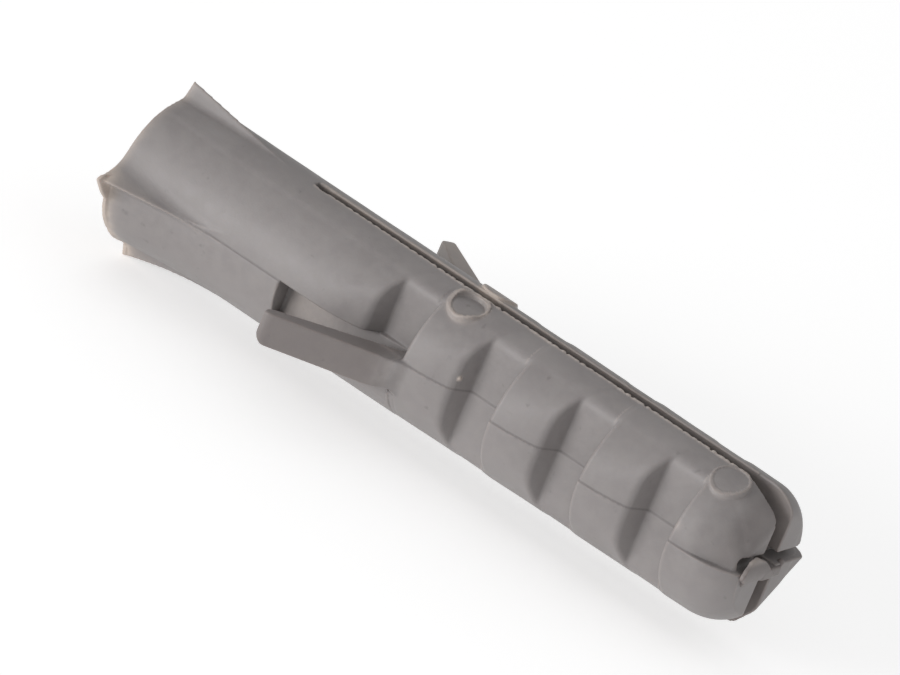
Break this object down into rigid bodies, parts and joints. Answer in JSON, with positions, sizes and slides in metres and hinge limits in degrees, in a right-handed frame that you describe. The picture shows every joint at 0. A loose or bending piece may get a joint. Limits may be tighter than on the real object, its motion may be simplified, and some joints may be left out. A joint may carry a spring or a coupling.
{
  "type": "wall anchor",
  "caption": "Slit plastic wall plug with a finned mouth, saw-toothed legs that spread and springy anti-turn tongues.",
  "frame": {"origin": "centre of the plug's mouth, in the plane of its rim, where the wall's surface is", "axes": "+X along the bore from the mouth to the nose, into the wall; the slit lies in the XZ plane; the front leg is on the -Y side"},
  "size_m": [0.04, 0.0155, 0.01],
  "materials": {
    "nylon": "satin moulded nylon"
  },
  "bodies": {
    "sleeve": {"neck_sleeve": "nylon"},
    "front_leg": {"front_leg": "nylon"},
    "rear_leg": {"rear_leg": "nylon", "nose_web": "nylon"},
    "front_tongue": {"front_tongue": "nylon"},
    "rear_tongue": {"rear_tongue": "nylon"}
  },
  "joints": [
    {"name": "front_leg_spread", "type": "hinge", "parent": "sleeve", "child": "front_leg", "pos_m": [0.00855, -0.00384, 0], "axis": [0, 0, -1], "range_deg": [0, 5], "stiffness_Nm_per_rad": 0.02},
    {"name": "rear_leg_spread", "type": "hinge", "parent": "sleeve", "child": "rear_leg", "pos_m": [0.00855, 0.00384, 0], "axis": [0, 0, 1], "range_deg": [0, 5], "stiffness_Nm_per_rad": 0.02},
    {"name": "front_tongue_fold", "type": "hinge", "parent": "front_leg", "child": "front_tongue", "pos_m": [0.0186, -0.0032, 0], "axis": [0, 0, -1], "range_deg": [0, 32], "stiffness_Nm_per_rad": 0.00005},
    {"name": "rear_tongue_fold", "type": "hinge", "parent": "rear_leg", "child": "rear_tongue", "pos_m": [0.0186, 0.0032, 0], "axis": [0, 0, 1], "range_deg": [0, 35], "stiffness_Nm_per_rad": 0.00005}
  ],
  "couplings": [
    {"joint": "rear_leg_spread", "follows": "front_leg_spread", "ratio": 1}
  ]
}
